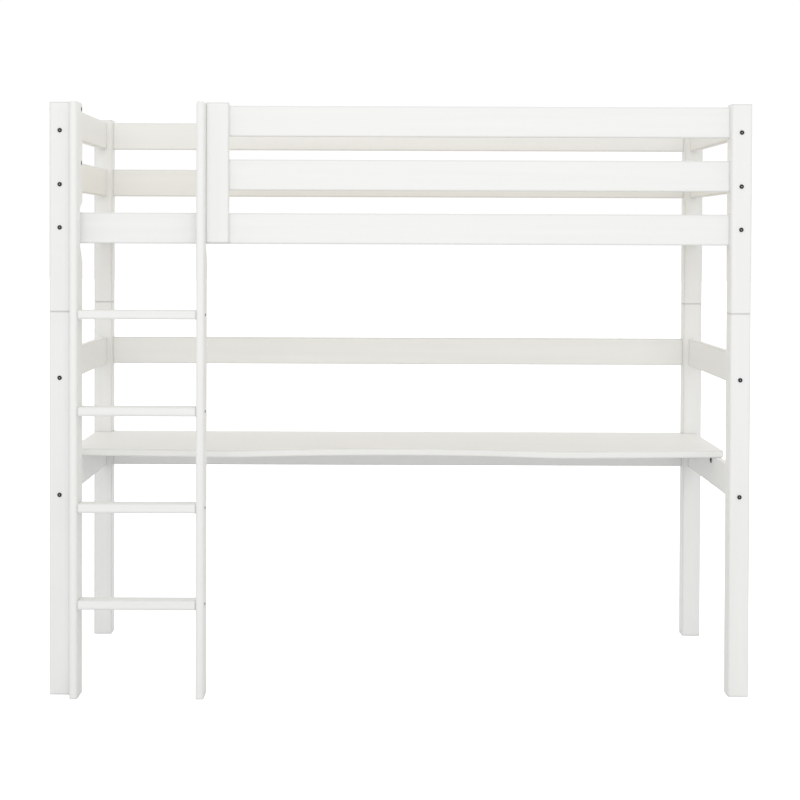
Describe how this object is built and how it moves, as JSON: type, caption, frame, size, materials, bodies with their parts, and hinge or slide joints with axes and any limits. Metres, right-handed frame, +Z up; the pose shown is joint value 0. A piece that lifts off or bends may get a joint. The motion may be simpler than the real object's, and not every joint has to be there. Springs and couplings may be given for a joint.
{
  "type": "loft bed with desk",
  "caption": "White loft bed on tall posts, with guard rails round a slatted bed, a straight front ladder and a long wave-edged desk top under the bed.",
  "frame": {"origin": "on the floor, at the middle of the whole object's length and depth", "axes": "+X along the bed to the right as seen from the ladder side, +Y from the ladder side to the back, +Z up"},
  "size_m": [2.096, 1.062, 1.77],
  "materials": {
    "white_painted_wood": "smooth satin white paint",
    "black_steel": "black coated steel",
    "zinc_steel": "bright zinc plate",
    "bare_beech": "bare turned beech",
    "bare_pine": "bare planed pine",
    "spacer_plastic": "moulded white plastic"
  },
  "bodies": {
    "root": {"barrel_nuts": "zinc_steel", "bed_slat_01": "bare_pine", "bed_slat_02": "bare_pine", "bed_slat_03": "bare_pine", "bed_slat_04": "bare_pine", "bed_slat_05": "bare_pine", "bed_slat_06": "bare_pine", "bed_slat_07": "bare_pine", "bed_slat_08": "bare_pine", "bed_slat_09": "bare_pine", "bed_slat_10": "bare_pine", "bed_slat_11": "bare_pine", "bed_slat_12": "bare_pine", "bracket_screws": "black_steel", "desk_brackets": "black_steel", "desk_top": "white_painted_wood", "dowels": "bare_beech", "front_bed_rail": "white_painted_wood", "front_guard_rail": "white_painted_wood", "front_left_lower_post": "white_painted_wood", "front_left_upper_post": "white_painted_wood", "front_right_lower_post": "white_painted_wood", "front_right_upper_post": "white_painted_wood", "front_slat_bearer": "bare_pine", "front_top_rail": "white_painted_wood", "guard_board": "white_painted_wood", "ladder_bolts": "black_steel", "ladder_rung_1": "white_painted_wood", "ladder_rung_2": "white_painted_wood", "ladder_rung_3": "white_painted_wood", "ladder_rung_4": "white_painted_wood", "ladder_sleeve_nuts": "black_steel", "ladder_spacers": "spacer_plastic", "left_end_bed_rail": "white_painted_wood", "left_end_desk_rail": "white_painted_wood", "left_end_guard_rail": "white_painted_wood", "left_end_middle_rail": "white_painted_wood", "left_end_top_rail": "white_painted_wood", "left_ladder_stringer": "white_painted_wood", "long_screws": "zinc_steel", "post_bolts": "black_steel", "post_joint_studs": "zinc_steel", "rear_bed_rail": "white_painted_wood", "rear_desk_rail": "white_painted_wood", "rear_guard_rail": "white_painted_wood", "rear_left_lower_post": "white_painted_wood", "rear_left_upper_post": "white_painted_wood", "rear_middle_rail": "white_painted_wood", "rear_right_lower_post": "white_painted_wood", "rear_right_upper_post": "white_painted_wood", "rear_slat_bearer": "bare_pine", "rear_top_rail": "white_painted_wood", "right_end_bed_rail": "white_painted_wood", "right_end_desk_rail": "white_painted_wood", "right_end_guard_rail": "white_painted_wood", "right_end_middle_rail": "white_painted_wood", "right_end_top_rail": "white_painted_wood", "right_ladder_stringer": "white_painted_wood", "rung_screws": "black_steel", "side_bolts": "black_steel"}
  },
  "joints": []
}
